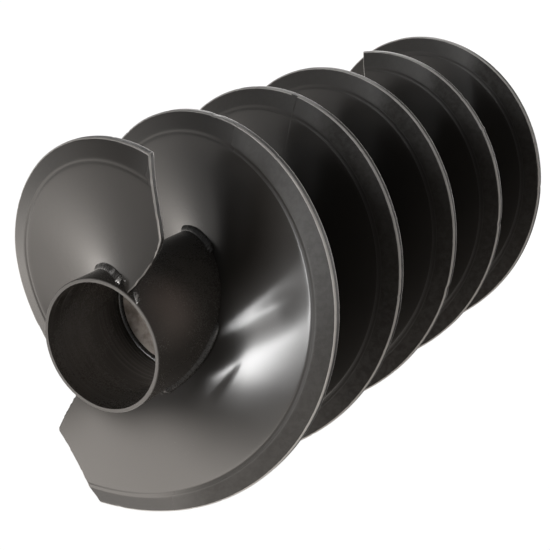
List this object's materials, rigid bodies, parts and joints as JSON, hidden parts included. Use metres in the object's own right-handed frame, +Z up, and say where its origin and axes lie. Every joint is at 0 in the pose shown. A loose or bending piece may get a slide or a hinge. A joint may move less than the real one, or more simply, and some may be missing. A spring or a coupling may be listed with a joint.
{
  "type": "mortar mixing auger",
  "caption": "Left-handed mixing auger: helical sheet steel flights with bent-back outer bands, welded round an open steel tube with a keyed drive hub.",
  "frame": {"origin": "centre of the open mouth of the tube, in the plane of its end face", "axes": "+Y along the tube's axis from the mouth to the drive hub, +Z up, with the leading edge of flight A 60 degrees from +X towards +Z"},
  "size_m": [0.2, 0.4615, 0.2],
  "materials": {
    "flight_steel": "dark satin sheet steel with worn, brighter cut edges",
    "tube_steel": "dark satin tube with a turned grey end face",
    "weld_metal": "rippled weld bead under a thin dark film, bright at its crater",
    "machined_steel": "turned and broached, lightly oiled",
    "screw_steel": "black oxide"
  },
  "bodies": {
    "root": {"centre_tube": "tube_steel", "mouth_bulkhead": "tube_steel", "bulkhead_ring_weld": "weld_metal", "drive_hub": "machined_steel", "hub_ring_weld": "weld_metal", "hub_plug_welds": "weld_metal", "hub_set_screws": "screw_steel", "flight_a_first_section": "flight_steel", "flight_a_last_section": "flight_steel", "flight_b_first_section": "flight_steel", "flight_b_middle_section": "flight_steel", "flight_b_last_section": "flight_steel", "flight_a_seam_weld": "weld_metal", "flight_b_first_seam_weld": "weld_metal", "flight_b_second_seam_weld": "weld_metal", "flight_a_front_root_welds": "weld_metal", "flight_a_rear_root_welds": "weld_metal", "flight_b_front_root_welds": "weld_metal", "flight_b_rear_root_welds": "weld_metal"}
  },
  "joints": []
}
